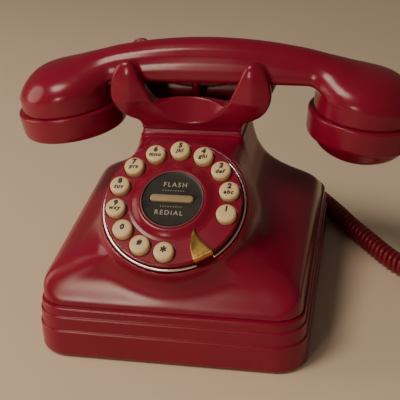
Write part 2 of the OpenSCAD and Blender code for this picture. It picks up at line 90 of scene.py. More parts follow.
# ---------------------------------------------------------------- materials
def material(name, colour, rough, metal=0.0, coat=0.0, coat_rough=0.08, spec=0.5,
             mottle=0.06, mottle_scale=60.0, smudge=0.08, smudge_scale=28.0,
             grain=0.0, grain_scale=900.0, wear=0.0, wear_colour=(0.8, 0.6, 0.55), streak=False, sheen=0.0):
    """Procedural finish: mottled colour, uneven gloss, fine surface grain and paler worn edges."""
    m = bpy.data.materials.new(name)
    m.use_nodes = True
    nt = m.node_tree
    nodes, link = nt.nodes, nt.links.new
    bsdf = nodes["Principled BSDF"]
    bsdf.inputs["Metallic"].default_value = metal
    bsdf.inputs["Specular IOR Level"].default_value = spec
    bsdf.inputs["Coat Weight"].default_value = coat
    bsdf.inputs["Coat Roughness"].default_value = coat_rough
    if sheen:
        bsdf.inputs["Sheen Weight"].default_value = sheen
        bsdf.inputs["Sheen Roughness"].default_value = 0.5
    where = nodes.new("ShaderNodeTexCoord")
    stretch = nodes.new("ShaderNodeMapping")
    stretch.inputs["Scale"].default_value = (1, 14, 14) if streak else (1, 1, 1)
    link(where.outputs["Object"], stretch.inputs["Vector"])
    # colour
    cloud = nodes.new("ShaderNodeTexNoise")
    cloud.inputs["Scale"].default_value = mottle_scale
    cloud.inputs["Detail"].default_value = 6.0
    cloud.inputs["Roughness"].default_value = 0.6
    link(stretch.outputs["Vector"], cloud.inputs["Vector"])
    ramp = nodes.new("ShaderNodeValToRGB")
    dark = tuple(max(0.0, c * (1 - mottle)) for c in colour)
    pale = tuple(min(1.0, c * (1 + mottle) + 0.02 * mottle) for c in colour)
    ramp.color_ramp.elements[0].position = 0.3
    ramp.color_ramp.elements[0].color = (*dark, 1)
    ramp.color_ramp.elements[1].position = 0.7
    ramp.color_ramp.elements[1].color = (*pale, 1)
    link(cloud.outputs["Fac"], ramp.inputs["Fac"])
    base = ramp.outputs["Color"]
    if wear > 0:
        geo = nodes.new("ShaderNodeNewGeometry")
        edge = nodes.new("ShaderNodeValToRGB")
        edge.color_ramp.elements[0].position = 0.54
        edge.color_ramp.elements[0].color = (0, 0, 0, 1)
        edge.color_ramp.elements[1].position = 0.62
        edge.color_ramp.elements[1].color = (wear, wear, wear, 1)
        link(geo.outputs["Pointiness"], edge.inputs["Fac"])
        mix = nodes.new("ShaderNodeMix")
        mix.data_type = "RGBA"
        link(edge.outputs["Color"], mix.inputs["Factor"])
        link(base, mix.inputs["A"])
        mix.inputs["B"].default_value = (*wear_colour, 1)
        base = mix.outputs["Result"]
    link(base, bsdf.inputs["Base Color"])
    # gloss
    smear = nodes.new("ShaderNodeTexNoise")
    smear.inputs["Scale"].default_value = smudge_scale
    smear.inputs["Detail"].default_value = 4.0
    smear.inputs["Distortion"].default_value = 0.6
    link(stretch.outputs["Vector"], smear.inputs["Vector"])
    gloss = nodes.new("ShaderNodeMapRange")
    gloss.inputs["From Min"].default_value = 0.3
    gloss.inputs["From Max"].default_value = 0.7
    gloss.inputs["To Min"].default_value = max(0.02, rough - smudge)
    gloss.inputs["To Max"].default_value = min(1.0, rough + smudge)
    link(smear.outputs["Fac"], gloss.inputs["Value"])
    link(gloss.outputs["Result"], bsdf.inputs["Roughness"])
    # surface
    if grain > 0:
        fine = nodes.new("ShaderNodeTexNoise")
        fine.inputs["Scale"].default_value = grain_scale
        fine.inputs["Detail"].default_value = 3.0
        link(stretch.outputs["Vector"], fine.inputs["Vector"])
        bump = nodes.new("ShaderNodeBump")
        bump.inputs["Strength"].default_value = grain
        bump.inputs["Distance"].default_value = 0.0002
        link(fine.outputs["Fac"], bump.inputs["Height"])
        link(bump.outputs["Normal"], bsdf.inputs["Normal"])
    return m


RED = material("red_plastic", (0.235, 0.0062, 0.031), 0.235, coat=0.06, coat_rough=0.12, spec=0.34, mottle=0.07, mottle_scale=22, smudge=0.05,
               grain=0.03, grain_scale=500)
CREAM = material("cream_keys", (0.76, 0.57, 0.31), 0.38, coat=0.1, mottle=0.05, mottle_scale=120, smudge=0.08, smudge_scale=140,
                 grain=0.03, grain_scale=1500, wear=0.25, wear_colour=(0.86, 0.72, 0.48))
BAR = material("bar_cream", (0.31, 0.235, 0.12), 0.42, coat=0.1, mottle=0.06, mottle_scale=120, smudge=0.08, smudge_scale=140,
               grain=0.03, grain_scale=1500)
BLACK_DISC = material("black_disc", (0.012, 0.010, 0.009), 0.36, coat=0.05, spec=0.3, mottle=0.3, mottle_scale=160, smudge=0.1, smudge_scale=90,
                      grain=0.02, grain_scale=1800)
# pinkish tone for the ring on the centre disc's rim: a painted reflection of the red housing on the black disc's edge
PAINTED_RIM_REFLECTION = material("disc_rim_painted_reflection", (0.20, 0.06, 0.065), 0.35, mottle=0.15, mottle_scale=160, smudge=0.1, smudge_scale=90)
GOLD = material("gold_stop", (0.66, 0.39, 0.12), 0.28, metal=1.0, mottle=0.12, mottle_scale=180, smudge=0.1, smudge_scale=120,
                grain=0.04, grain_scale=900, wear=0.3, wear_colour=(0.98, 0.82, 0.5))
CHROME = material("chrome_ring", (0.86, 0.85, 0.83), 0.2, metal=1.0, mottle=0.05, mottle_scale=120, smudge=0.07, smudge_scale=160,
                  grain=0.01, grain_scale=1200)
CORD = material("cord_vinyl", (0.20, 0.007, 0.022), 0.40, coat=0.08, spec=0.36, mottle=0.1, mottle_scale=160, smudge=0.08, smudge_scale=150,
                grain=0.03, grain_scale=1400)
PLUG = material("plug_plastic", (0.52, 0.49, 0.45), 0.22, coat=0.3, mottle=0.08, mottle_scale=300, smudge=0.08, smudge_scale=200,
                grain=0.02, grain_scale=900)
BLACK = material("black_plastic", (0.022, 0.022, 0.024), 0.5, mottle=0.25, mottle_scale=200, smudge=0.1, smudge_scale=120,
                 grain=0.12, grain_scale=2200, wear=0.1, wear_colour=(0.12, 0.12, 0.12))
PAD = material("pad_rubber", (0.03, 0.03, 0.031), 0.8, mottle=0.3, mottle_scale=120, smudge=0.1, grain=0.35, grain_scale=1600, sheen=0.15)
MAT = material("mat_rubber", (0.28, 0.28, 0.3), 0.65, mottle=0.1, mottle_scale=150, smudge=0.1, grain=0.1, grain_scale=1500)
PLATE = material("plate_steel", (0.045, 0.045, 0.048), 0.42, coat=0.1, mottle=0.2, mottle_scale=60, smudge=0.12, grain=0.15, grain_scale=1400,
                 wear=0.2, wear_colour=(0.35, 0.35, 0.36))
ZINC = material("zinc_steel", (0.56, 0.57, 0.58), 0.32, metal=1.0, mottle=0.1, mottle_scale=300, smudge=0.12, smudge_scale=200,
                grain=0.08, grain_scale=1500, streak=True)
BOARD = material("circuit_board", (0.03, 0.16, 0.07), 0.4, coat=0.2, mottle=0.25, mottle_scale=300, smudge=0.1, smudge_scale=220,
                 grain=0.1, grain_scale=900)
IRON = material("ballast_iron", (0.16, 0.155, 0.15), 0.6, metal=0.8, mottle=0.25, mottle_scale=90, smudge=0.15, smudge_scale=90,
                grain=0.3, grain_scale=700)
ALU = material("capsule_metal", (0.62, 0.62, 0.64), 0.36, metal=1.0, mottle=0.08, mottle_scale=200, smudge=0.1, smudge_scale=150,
               grain=0.05, grain_scale=1200)
INK = material("legend_ink", (0.012, 0.011, 0.010), 0.55, mottle=0.3, mottle_scale=700, smudge=0.1, smudge_scale=300)
PRINT = material("legend_print", (0.40, 0.36, 0.30), 0.55, mottle=0.15, mottle_scale=700, smudge=0.1, smudge_scale=300)
BY_SLOT = {"red_plastic": RED, "cream_keys": CREAM, "black_disc": BLACK_DISC, "gold_stop": GOLD, "chrome_ring": CHROME,
           "cord_vinyl": CORD, "plug_plastic": PLUG, "black_plastic": BLACK, "pad_rubber": PAD, "mat_rubber": MAT,
           "plate_steel": PLATE, "zinc_steel": ZINC, "circuit_board": BOARD, "ballast_iron": IRON, "capsule_metal": ALU}

for part in frame["record"]["subparts"]:
    node = bpy.data.objects.get(part["node"])
    if node is not None and node.type == "MESH":
        if not node.material_slots:
            node.data.materials.append(BY_SLOT[part["material_slot"]])
        for s in node.material_slots:
            s.material = BY_SLOT[part["material_slot"]]


# ---------------------------------------------------------------- mesh helpers
def finish_piece(name, verts_mm, faces, mat, body, replaces=(), normals=None, smooth=True, matrix=None, sharp=None):
    v = np.asarray(verts_mm, float)
    if matrix is not None:
        m = np.array(matrix)
        v = v @ m[:3, :3].T + m[:3, 3]
    mesh = bpy.data.meshes.new(name)
    mesh.from_pydata((v * MM).tolist(), [], [list(map(int, f)) for f in faces])
    mesh.validate()
    mesh.materials.append(mat)
    if smooth:
        mesh.polygons.foreach_set("use_smooth", [True] * len(mesh.polygons))
    if sharp is not None:
        mesh.set_sharp_from_angle(angle=rad(sharp))
    if normals is not None:
        mesh.normals_split_custom_set_from_vertices(normals.tolist())
    mesh.update()
    obj = bpy.data.objects.new(name, mesh)
    scene.collection.objects.link(obj)
    if body is not None:
        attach(obj, body)
    if replaces:
        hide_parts(*replaces)
    return obj


def add(parts):
    """Join several (verts, faces) into one."""
    vs, fs, n = [], [], 0
    for v, f in parts:
        vs.append(np.asarray(v, float))
        fs += [[i + n for i in q] for q in f]
        n += len(v)
    return np.vstack(vs), fs


def moved(part, matrix):
    v, f = part
    m = np.array(matrix)
    return np.asarray(v, float) @ m[:3, :3].T + m[:3, 3], f


def lathe(profile, n=96, closed=False):
    """Turn a profile of (radius, height) about Z. It runs anticlockwise seen with the radius to the right, so the faces look out."""
    verts, rows = [], []
    for r, z in profile:
        if r < 1e-6:
            rows.append([len(verts)] * n)
            verts.append((0, 0, z))
        else:
            rows.append(list(range(len(verts), len(verts) + n)))
            verts += [(r * math.cos(2 * math.pi * k / n), r * math.sin(2 * math.pi * k / n), z) for k in range(n)]
    faces = []
    pairs = list(zip(rows, rows[1:])) + ([(rows[-1], rows[0])] if closed else [])
    for a, b in pairs:
        for k in range(n):
            j = (k + 1) % n
            q = [a[k], a[j], b[j], b[k]]
            q = [x for i, x in enumerate(q) if x not in q[:i]]
            if len(q) > 2:
                faces.append(q)
    return verts, faces


def rounded(points, radius, steps=5):
    """Round the corners of an open outline; radius is one number or one for each inner point."""
    pts = [np.array(p, float) for p in points]
    out = [tuple(pts[0])]
    for i in range(1, len(pts) - 1):
        r = radius[i - 1] if hasattr(radius, "__len__") else radius
        a, b, c = pts[i - 1], pts[i], pts[i + 1]
        u, w = (a - b), (c - b)
        lu, lw = np.linalg.norm(u), np.linalg.norm(w)
        if r <= 0 or lu == 0 or lw == 0:
            out.append(tuple(b))
            continue
        d = min(r, 0.49 * lu, 0.49 * lw)
        p, q = b + u / lu * d, b + w / lw * d
        for k in range(steps + 1):
            t = k / steps
            out.append(tuple((1 - t) ** 2 * p + 2 * t * (1 - t) * b + t * t * q))
    out.append(tuple(pts[-1]))
    return out


# ---------------------------------------------------------------- smooth solids from distance fields
def smin(a, b, k):
    h = np.maximum(k - np.abs(a - b), 0.0) / k
    return np.minimum(a, b) - h * h * h * k / 6.0


def smax(a, b, k):
    return -smin(-a, -b, k)


def box2(x, y, hx, hy, r):
    """Distance to a rounded rectangle."""
    qx, qy = np.abs(x) - (hx - r), np.abs(y) - (hy - r)
    return np.hypot(np.maximum(qx, 0), np.maximum(qy, 0)) + np.minimum(np.maximum(qx, qy), 0) - r


def box3(x, y, z, hx, hy, hz, r):
    qx, qy, qz = np.abs(x) - (hx - r), np.abs(y) - (hy - r), np.abs(z) - (hz - r)
    return (np.sqrt(np.maximum(qx, 0) ** 2 + np.maximum(qy, 0) ** 2 + np.maximum(qz, 0) ** 2)
            + np.minimum(np.maximum(np.maximum(qx, qy), qz), 0) - r)


class Outline:
    """Signed distance to a closed outline, with its corners softened, kept on a fine grid."""

    def __init__(self, points, soft, step=0.5, pad=16.0):
        p = np.array(points, float)
        self.lo = p.min(0) - pad
        self.step = step
        n = np.ceil((p.max(0) + pad - self.lo) / step).astype(int) + 1
        X, Y = np.meshgrid(self.lo[0] + step * np.arange(n[0]), self.lo[1] + step * np.arange(n[1]), indexing="ij")
        best = np.full(X.shape, 1e9)
        inside = np.zeros(X.shape, bool)
        for a, b in zip(p, np.roll(p, -1, 0)):
            e = b - a
            wx, wy = X - a[0], Y - a[1]
            t = np.clip((wx * e[0] + wy * e[1]) / max(e @ e, 1e-12), 0, 1)
            best = np.minimum(best, (wx - t * e[0]) ** 2 + (wy - t * e[1]) ** 2)
            if abs(e[1]) > 1e-12:
                cross = ((a[1] <= Y) & (Y < b[1])) | ((b[1] <= Y) & (Y < a[1]))
                inside ^= cross & (X < a[0] + (Y - a[1]) / e[1] * e[0])
        d = np.sqrt(best) * np.where(inside, -1, 1)
        if soft > 0:
            s = soft / step
            k = np.arange(-int(3 * s) - 1, int(3 * s) + 2)
            w = np.exp(-0.5 * (k / s) ** 2)
            w /= w.sum()
            for ax in (0, 1):
                padded = np.pad(d, [(len(k) // 2,) * 2 if i == ax else (0, 0) for i in (0, 1)], mode="edge")
                d = sum(w[i] * np.take(padded, np.arange(i, i + d.shape[ax]), axis=ax) for i in range(len(k)))
        self.d = d
        self.hi = self.lo + step * (np.array(d.shape) - 1)

    def __call__(self, u, v):
        cu = np.clip(u, self.lo[0] + 2 * self.step, self.hi[0] - 2 * self.step)
        cv = np.clip(v, self.lo[1] + 2 * self.step, self.hi[1] - 2 * self.step)
        far = np.hypot(u - cu, v - cv)
        gu, gv = (cu - self.lo[0]) / self.step, (cv - self.lo[1]) / self.step
        i = np.clip(np.floor(gu).astype(int), 1, self.d.shape[0] - 3)
        j = np.clip(np.floor(gv).astype(int), 1, self.d.shape[1] - 3)
        fu, fv = gu - i, gv - j

        def weights(t):
            return ((-t + 2 * t * t - t ** 3) / 2, (2 - 5 * t * t + 3 * t ** 3) / 2,
                    (t + 4 * t * t - 3 * t ** 3) / 2, (-t * t + t ** 3) / 2)

        wu, wv = weights(fu), weights(fv)
        out = 0.0
        for a in range(4):
            row = 0.0
            for b in range(4):
                row = row + wv[b] * self.d[i + a - 1, j + b - 1]
            out = out + wu[a] * row
        return out + far


def solid_mesh(f, lo, hi, step, relax=3):
    """Closed quad mesh of f(x, y, z) = 0, drawn onto the surface, with the normals of the field."""
    lo, hi = np.array(lo, float), np.array(hi, float)
    n = np.ceil((hi - lo) / step).astype(int) + 1
    ax = [lo[i] + step * np.arange(n[i]) for i in range(3)]
    V = np.empty(n)
    for i0 in range(0, n[0], 16):
        X, Y, Z = np.meshgrid(ax[0][i0:i0 + 16], ax[1], ax[2], indexing="ij")
        V[i0:i0 + 16] = f(X, Y, Z)
    S = V < 0
    corner = [(a, b, c) for a in (0, 1) for b in (0, 1) for c in (0, 1)]
    m = n - 1
    count = sum(S[a:a + m[0], b:b + m[1], c:c + m[2]].astype(np.int8) for a, b, c in corner)
    active = (count > 0) & (count < 8)
    cells = np.argwhere(active)
    index = np.full(m, -1)
    index[active] = np.arange(len(cells))
    vals = {c: V[cells[:, 0] + c[0], cells[:, 1] + c[1], cells[:, 2] + c[2]] for c in corner}
    acc, num = np.zeros((len(cells), 3)), np.zeros(len(cells))
    for a in corner:
        for d in range(3):
            if a[d] == 0:
                b = tuple(1 if i == d else a[i] for i in range(3))
                cut = (vals[a] < 0) != (vals[b] < 0)
                t = np.where(cut, vals[a] / np.where(cut, vals[a] - vals[b], 1), 0)
                at = np.array(a, float) + np.outer(t, np.eye(3)[d])
                acc += np.where(cut[:, None], at, 0)
                num += cut
    P = lo + step * (cells + acc / num[:, None])
    quads = []
    for d in range(3):
        e, g = [(1, 2), (2, 0), (0, 1)][d]
        sl0 = tuple(slice(0, n[i] - 1) if i == d else slice(1, n[i] - 1) for i in range(3))
        sl1 = tuple(slice(1, n[i]) if i == d else slice(1, n[i] - 1) for i in range(3))
        cut = S[sl0] != S[sl1]
        at = np.argwhere(cut)
        off = np.array([0 if i == d else 1 for i in range(3)])
        g0 = at + off
        flip = S[tuple(g0.T)]
        E, G = np.eye(3, dtype=int)[e], np.eye(3, dtype=int)[g]
        q = np.stack([index[tuple((g0 - E - G).T)], index[tuple((g0 - G).T)], index[tuple(g0.T)], index[tuple((g0 - E).T)]], 1)
        quads.append(np.where(flip[:, None], q, q[:, ::-1]))
    Q = np.vstack(quads)

    def grad(p, h=0.25):
        out = np.empty_like(p)
        for i in range(3):
            a, b = p.copy(), p.copy()
            a[:, i] += h
            b[:, i] -= h
            out[:, i] = (f(*a.T) - f(*b.T)) / (2 * h)
        return out

    def onto(p, rounds):
        for _ in range(rounds):
            g = grad(p)
            s = f(*p.T) / np.maximum((g * g).sum(1), 0.2)
            p = p - np.clip(s, -0.7 * step, 0.7 * step)[:, None] * g
        return p

    P = onto(P, 3)
    edges = np.vstack([Q[:, [0, 1]], Q[:, [1, 2]], Q[:, [2, 3]], Q[:, [3, 0]]])
    deg = np.bincount(edges.ravel(), minlength=len(P)).astype(float)
    for _ in range(relax):
        tot = np.zeros_like(P)
        for i in range(3):
            tot[:, i] = np.bincount(edges[:, 0], P[edges[:, 1], i], len(P)) + np.bincount(edges[:, 1], P[edges[:, 0], i], len(P))
        P = onto(P + 0.5 * (tot / deg[:, None] - P), 2)
    N = grad(P, 0.4)
    N /= np.maximum(np.linalg.norm(N, axis=1, keepdims=True), 1e-9)
    return P, Q, N


def mirrored(half):
    return list(half) + [(-x, z) for x, z in reversed(half)]


def local(matrix, x, y, z):
    m = np.array(matrix.inverted())
    return tuple(m[i, 0] * x + m[i, 1] * y + m[i, 2] * z + m[i, 3] for i in range(3))


# ---------------------------------------------------------------- curly cord
ROUTE = [(-2, 93.2, 9.6), (-2, 97, 9.6), (-1.2, 105, 9), (2, 114, 8), (8.2, 121.8, 6.8), (16.4, 127.4, 6.4), (25.8, 129.9, 6.4),
         (35.5, 128.9, 6.4), (44.4, 124.9, 6.4), (52.1, 118.5, 6.4), (60, 110.1, 6.4), (67.4, 99.6, 6.4), (74.7, 88.4, 6.4),
         (81.9, 76.8, 6.4), (88.7, 64.6, 6.4), (96.4, 52.8, 6.4), (104.2, 40.9, 6.4), (112, 29, 6.4), (120.5, 18.5, 6.6),
         (130, 9.5, 8.4), (140.5, 3.5, 13), (150.5, 0.5, 20.5), (158.5, 0, 31), (164, 2, 43.5), (166.5, 5, 57.5), (166, 8.5, 71.5),
         (162, 12, 85), (155, 14.6, 95.5), (146, 15.6, 102.4), (138.5, 16, 106.2), (130.5, 16, 108.1)]
CORD_D = 12.4


def spline(points, per):
    p = np.array(points, float)
    p = np.vstack([2 * p[0] - p[1], p, 2 * p[-1] - p[-2]])
    t = np.arange(per)[:, None] / per
    out = []
    for i in range(1, len(p) - 2):
        p0, p1, p2, p3 = p[i - 1:i + 3]
        out.append(0.5 * (2 * p1 + (p2 - p0) * t + (2 * p0 - 5 * p1 + 4 * p2 - p3) * t * t + (3 * p1 - p0 - 3 * p2 + p3) * t ** 3))
    out.append(p[-2:-1])
    return np.vstack(out)


def resampled(p, n):
    s = np.concatenate([[0], np.cumsum(np.linalg.norm(np.diff(p, axis=0), axis=1))])
    at = np.linspace(0, s[-1], n)
    return np.stack([np.interp(at, s, p[:, i]) for i in range(3)], 1), s[-1]


def frames(p):
    t = np.gradient(p, axis=0)
    t /= np.linalg.norm(t, axis=1, keepdims=True)
    n = np.empty_like(p)
    n[0] = np.cross(t[0], (1, 0, 0))
    n[0] /= np.linalg.norm(n[0])
    for i in range(1, len(p)):
        v = n[i - 1] - (n[i - 1] @ t[i]) * t[i]
        n[i] = v / np.linalg.norm(v)
    return t, n, np.cross(t, n)


def tube_mesh(p, r, sides):
    t, n, b = frames(p)
    a = 2 * np.pi * np.arange(sides) / sides
    ring = p[:, None] + np.asarray(r).reshape(-1, 1, 1) * (np.cos(a)[None, :, None] * n[:, None] + np.sin(a)[None, :, None] * b[:, None])
    v = ring.reshape(-1, 3)
    f = []
    for i in range(len(p) - 1):
        for k in range(sides):
            j = (k + 1) % sides
            f.append([i * sides + k, i * sides + j, (i + 1) * sides + j, (i + 1) * sides + k])
    f.append([sides - 1 - k for k in range(sides)])
    f.append([(len(p) - 1) * sides + k for k in range(sides)])
    return v, f


axis_line = spline(ROUTE, 24)
axis_line, axis_len = resampled(axis_line, 2400)
PITCH, STRAND = 4.15, 3.5
ta, na, ba = frames(axis_line)
along = np.linspace(0, axis_len, len(axis_line))
lead = np.clip((np.minimum(along, axis_len - along) - 3.5) / 4.0, 0, 1)
coil_r = (CORD_D - STRAND) / 2 * (lead * lead * (3 - 2 * lead))
turn = 2 * np.pi * along / PITCH
coil = axis_line + coil_r[:, None] * (np.cos(turn)[:, None] * na + np.sin(turn)[:, None] * ba)
strand_v, strand_f = tube_mesh(coil, np.full(len(coil), STRAND / 2), 10)
cord = finish_piece("coiled_cord", strand_v, strand_f, CORD, None, ["curly_cord"])


def bevelled(lo, hi, width, matrix=None):
    """Box with rounded edges, as (verts, faces)."""
    bm = bmesh.new()
    bmesh.ops.create_cube(bm, size=1.0)
    for v in bm.verts:
        v.co = Vector([(lo[i] + hi[i]) / 2 + v.co[i] * (hi[i] - lo[i]) for i in range(3)])
    bmesh.ops.bevel(bm, geom=list(bm.edges), offset=width, segments=3, profile=0.5, affect="EDGES")
    bm.verts.index_update()
    part = [tuple(v.co) for v in bm.verts], [[v.index for v in f.verts] for f in bm.faces]
    bm.free()
    return moved(part, matrix) if matrix is not None else part


def plug(name, matrix, body, node):
    """Modular plug along +X from 0 to 14: body, latch, contact ridges, and the ribbed boot of the cord at its outer end."""
    parts = [bevelled((0, -3.8, -3.2), (14, 3.8, 3.2), 0.5), bevelled((2.0, -1.5, 3.0), (13.2, 1.5, 3.9), 0.3)]
    parts += [bevelled((0.6, -2.7 + 1.35 * k, -3.38), (5.4, -2.25 + 1.35 * k, -2.9), 0.1) for k in range(4)]
    v, f = add(parts)
    box = finish_piece(name, v, f, PLUG, body, [node], matrix=matrix, sharp=40)
    line = [(0, 13.6), (3.1, 13.6), (3.1, 14.8)]
    for k in range(2):
        line += [(2.6 - 0.12 * k, 15.0 + 1.5 * k), (2.6 - 0.12 * k, 15.6 + 1.5 * k), (2.95 - 0.18 * k, 15.9 + 1.5 * k), (2.9 - 0.18 * k, 16.4 + 1.5 * k)]
    line += [(2.35, 18.2), (2.05, 18.4), (0, 18.4)]
    v, f = moved(lathe(rounded(line, 0.25, 3), 40), Matrix.Rotation(rad(90), 4, "Y"))
    boot = finish_piece(name + "_boot", v, f, CORD, body, matrix=matrix, sharp=50)
    return [box.name, boot.name]


on_cord = plug("plug_at_base", Matrix.Translation((-2, 79, 9.6)) @ Matrix.Rotation(rad(90), 4, "Z"), "base", "cord_plug_base")
on_cord += plug("plug_at_handset", CAP[1] @ Matrix.Translation((20, 0, 21.9)), "handset", "cord_plug_handset")
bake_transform(cord)


# ---------------------------------------------------------------- plinth
def plan(hx, hy, r, per_corner=20, per_side=14):
    """Rounded rectangle, anticlockwise from the right side."""
    out = []
    corners = [(hx - r, hy - r, 0), (-hx + r, hy - r, 90), (-hx + r, -hy + r, 180), (hx - r, -hy + r, 270)]
    for c, (cx, cy, a0) in enumerate(corners):
        arc = [(cx + r * math.cos(rad(a0 + 90 * k / per_corner)), cy + r * math.sin(rad(a0 + 90 * k / per_corner))) for k in range(per_corner + 1)]
        out += arc
        nx, ny, na0 = corners[(c + 1) % 4]
        end = (nx + r * math.cos(rad(na0)), ny + r * math.sin(rad(na0)))
        out += [(arc[-1][0] + (end[0] - arc[-1][0]) * k / per_side, arc[-1][1] + (end[1] - arc[-1][1]) * k / per_side) for k in range(1, per_side)]
    return out


def loft(rings):
    n = len(rings[0])
    v = [p for r in rings for p in r]
    f = []
    for i in range(len(rings) - 1):
        for k in range(n):
            j = (k + 1) % n
            f.append([i * n + k, i * n + j, (i + 1) * n + j, (i + 1) * n + k])
    f.append([n - 1 - k for k in range(n)])
    f.append([(len(rings) - 1) * n + k for k in range(n)])
    return v, f


def boolean(obj, cutters, op="DIFFERENCE"):
    for c in cutters:
        m = obj.modifiers.new("cut", "BOOLEAN")
        m.operation = op
        m.solver = "EXACT"
        m.object = c
    dg = bpy.context.evaluated_depsgraph_get()
    mesh = bpy.data.meshes.new_from_object(obj.evaluated_get(dg))
    obj.modifiers.clear()
    old = obj.data
    obj.data = mesh
    bpy.data.meshes.remove(old)
    for c in cutters:
        data = c.data
        bpy.data.objects.remove(c)
        bpy.data.meshes.remove(data)


def cutter(lo, hi):
    bm = bmesh.new()
    bmesh.ops.create_cube(bm, size=1.0)
    for v in bm.verts:
        v.co = Vector([(lo[i] + hi[i]) / 2 + v.co[i] * (hi[i] - lo[i]) for i in range(3)]) * MM
    mesh = bpy.data.meshes.new("cutter")
    bm.to_mesh(mesh)
    bm.free()
    obj = bpy.data.objects.new("cutter", mesh)
    scene.collection.objects.link(obj)
    return obj


# (inset from the widest outline, height) up the wall: three tiers with rounded edges and a fine step between them
wall_line = rounded([(3.0, 0.3), (1.0, 0.3), (0.0, 1.6), (0.0, 15.9), (1.25, 16.3), (1.25, 23.8), (2.55, 24.2), (2.55, 28.9), (6.0, 29.2)],
                    [0.5, 1.2, 1.8, 0.3, 1.6, 0.3, 1.4], 6)
rings = []
for inset, z in wall_line:
    rings.append([(x, y, z) for x, y in plan(73 - inset * 0.6, 90 - inset, 17 - 0.6 * inset)])
pv, pf = loft(rings)
plinth = finish_piece("plinth_shell", pv, pf, RED, "base", ["plinth"])
holes = [cutter((x - 6.6, 72, 4.4), (x + 6.6, 100, 15.2)) for x in (-2, -26)] + [cutter((x - 7, 72, 8), (x + 7, 100, 12)) for x in (44, -45)]
inside_v, inside_f = loft([[(x, y, z) for x, y in plan(68.8, 82.8, 12.8)] for z in (-5, 26)])
mesh = bpy.data.meshes.new("cutter")
mesh.from_pydata((np.array(inside_v) * MM).tolist(), [], inside_f)
inside = bpy.data.objects.new("cutter", mesh)
scene.collection.objects.link(inside)
holes.append(inside)
boolean(plinth, holes)
plinth.data.polygons.foreach_set("use_smooth", [True] * len(plinth.data.polygons))
plinth.data.set_sharp_from_angle(angle=rad(38))


# ---------------------------------------------------------------- flared housing with the dial cup and the neck
BELL = [(70.7, 5), (70.7, 36.4), (70.4, 41.2), (69.3, 45.0), (67.1, 48.4), (63.5, 51.4), (58.7, 54.2), (52.7, 57.4), (47.0, 61.2), (41.7, 66.2), (37.8, 71.4),
        (34, 79.4), (31.2, 88), (29.4, 96), (28.6, 106), (28.4, 130)]
bell = Outline(mirrored(BELL), 1.6)
SIDE = [(-85.5, 10), (-85.5, 28.5), (-84.6, 31), (-82.6, 34.6), (-80.2, 39), (-78, 44), (-76.4, 50), (-75.6, 56), (-23.2, 92.2), (-14, 94), (-6, 94.4), (10, 94.4),
        (33.8, 94.4), (34.1, 89), (35, 82), (37, 75), (40, 68.5), (43.2, 62.6), (46, 57.6), (48.4, 53), (51.2, 48.4), (55.6, 43.2), (62, 38.6), (70, 34.8), (78, 32),
        (84.4, 30), (85.5, 28), (85.5, 10)]
side = Outline(SIDE, 1.8)


def housing_field(x, y, z):
    slope = rad(3.3)
    zz = 50 + (z - 50) * math.cos(slope) - (y - 25) * math.sin(slope)
    soft = 13.0 + 15.0 * np.clip((-22 - y) / 30, 0, 1)
    low = np.clip((66 - z) / 26, 0, 1)
    soft = soft + (11.0 - soft) * low * low * (3 - 2 * low)
    d = smax(bell(x, zz), side(y, z), soft)
    d = smax(d, box2(x, y, 70.7, 85.5, 15), 3.0)
    # neck, with two small steps under the cradle
    d = smin(d, smax(box2(x, y - 15.8, 28.9, 19.9, 3.5), z - 94.4, 1.4), 7.0)
    d = smin(d, box3(x, y - 15.8, z - 93.6, 28.3, 18.3, 4.2, 1.0), 1.0)
    # dial cup
    u, v, h = local(DIAL, x, y, z)
    rho = np.hypot(u, v)
    cup = smax(rho - 39.9, h + 8.7, 2.2)
    cup = smax(cup, -30 - h, 3.0)
    d = smin(d, cup, 13.0)
    d = smax(d, -smax(rho - 38.4, -9.6 - h, 0.6), 0.8)
    d = smax(d, -smax(rho - 34.6, -20 - h, 0.6), 0.8)
    # room for the hook switch in the neck
    d = smax(d, -box3(x, y - 16, z - 90, 24.5, 11.5, 26, 2), 0.8)
    return smax(d, 29.0 - z, 0.6)


P, Q, N = solid_mesh(housing_field, (-75, -94, 26), (75, 90, 102), 1.2)
finish_piece("housing_shell", P, Q, RED, "base", ["upper_housing"], normals=N)


# ---------------------------------------------------------------- cradle
CR_OUT = [(28.7, 88), (28.7, 100), (30.2, 102.8), (34.7, 104.4), (39.2, 107), (42.8, 110.6), (44.9, 115), (45.5, 119), (45.2, 123), (43.6, 129.4),
          (41.4, 134.2), (39.2, 136.8), (36.6, 138.2), (30, 138.4), (0, 138.4)]
CR_SCOOP = [(0, 115.5), (5, 115.3), (10, 114.7), (15, 113.8), (19, 113.0), (20.8, 113.3), (22.2, 115.8), (23.6, 118.9), (25.2, 122.4), (27.2, 126.8), (29.0, 131.0), (30.6, 134.4), (32.2, 137), (33.0, 141),
            (33.0, 165), (0, 165)]
CR_REAR = [(0, 114.2), (8, 114.4), (14, 115.4), (18, 117.1), (21.6, 120.1), (24.4, 124.2), (26.6, 128.6), (28.6, 132.6), (30.6, 136), (32.0, 139), (32.4, 143),
           (32.4, 165), (0, 165)]
CR_SIDE = [(-17.8, 88), (-18.2, 100), (-19.5, 104), (-21.5, 109.4), (-23.3, 115.8), (-22.8, 119.4), (-22.2, 126), (-21.5, 131), (-20.2, 135),
           (-18.7, 137.4), (-17.2, 138.2), (0, 140), (17.2, 140.6), (18.7, 139.6), (20.2, 136.6), (21.5, 131.6), (22.2, 126), (22.8, 119.4), (23.3, 115.8),
           (21.5, 109.4), (19.5, 104), (18.2, 100), (17.8, 88)]
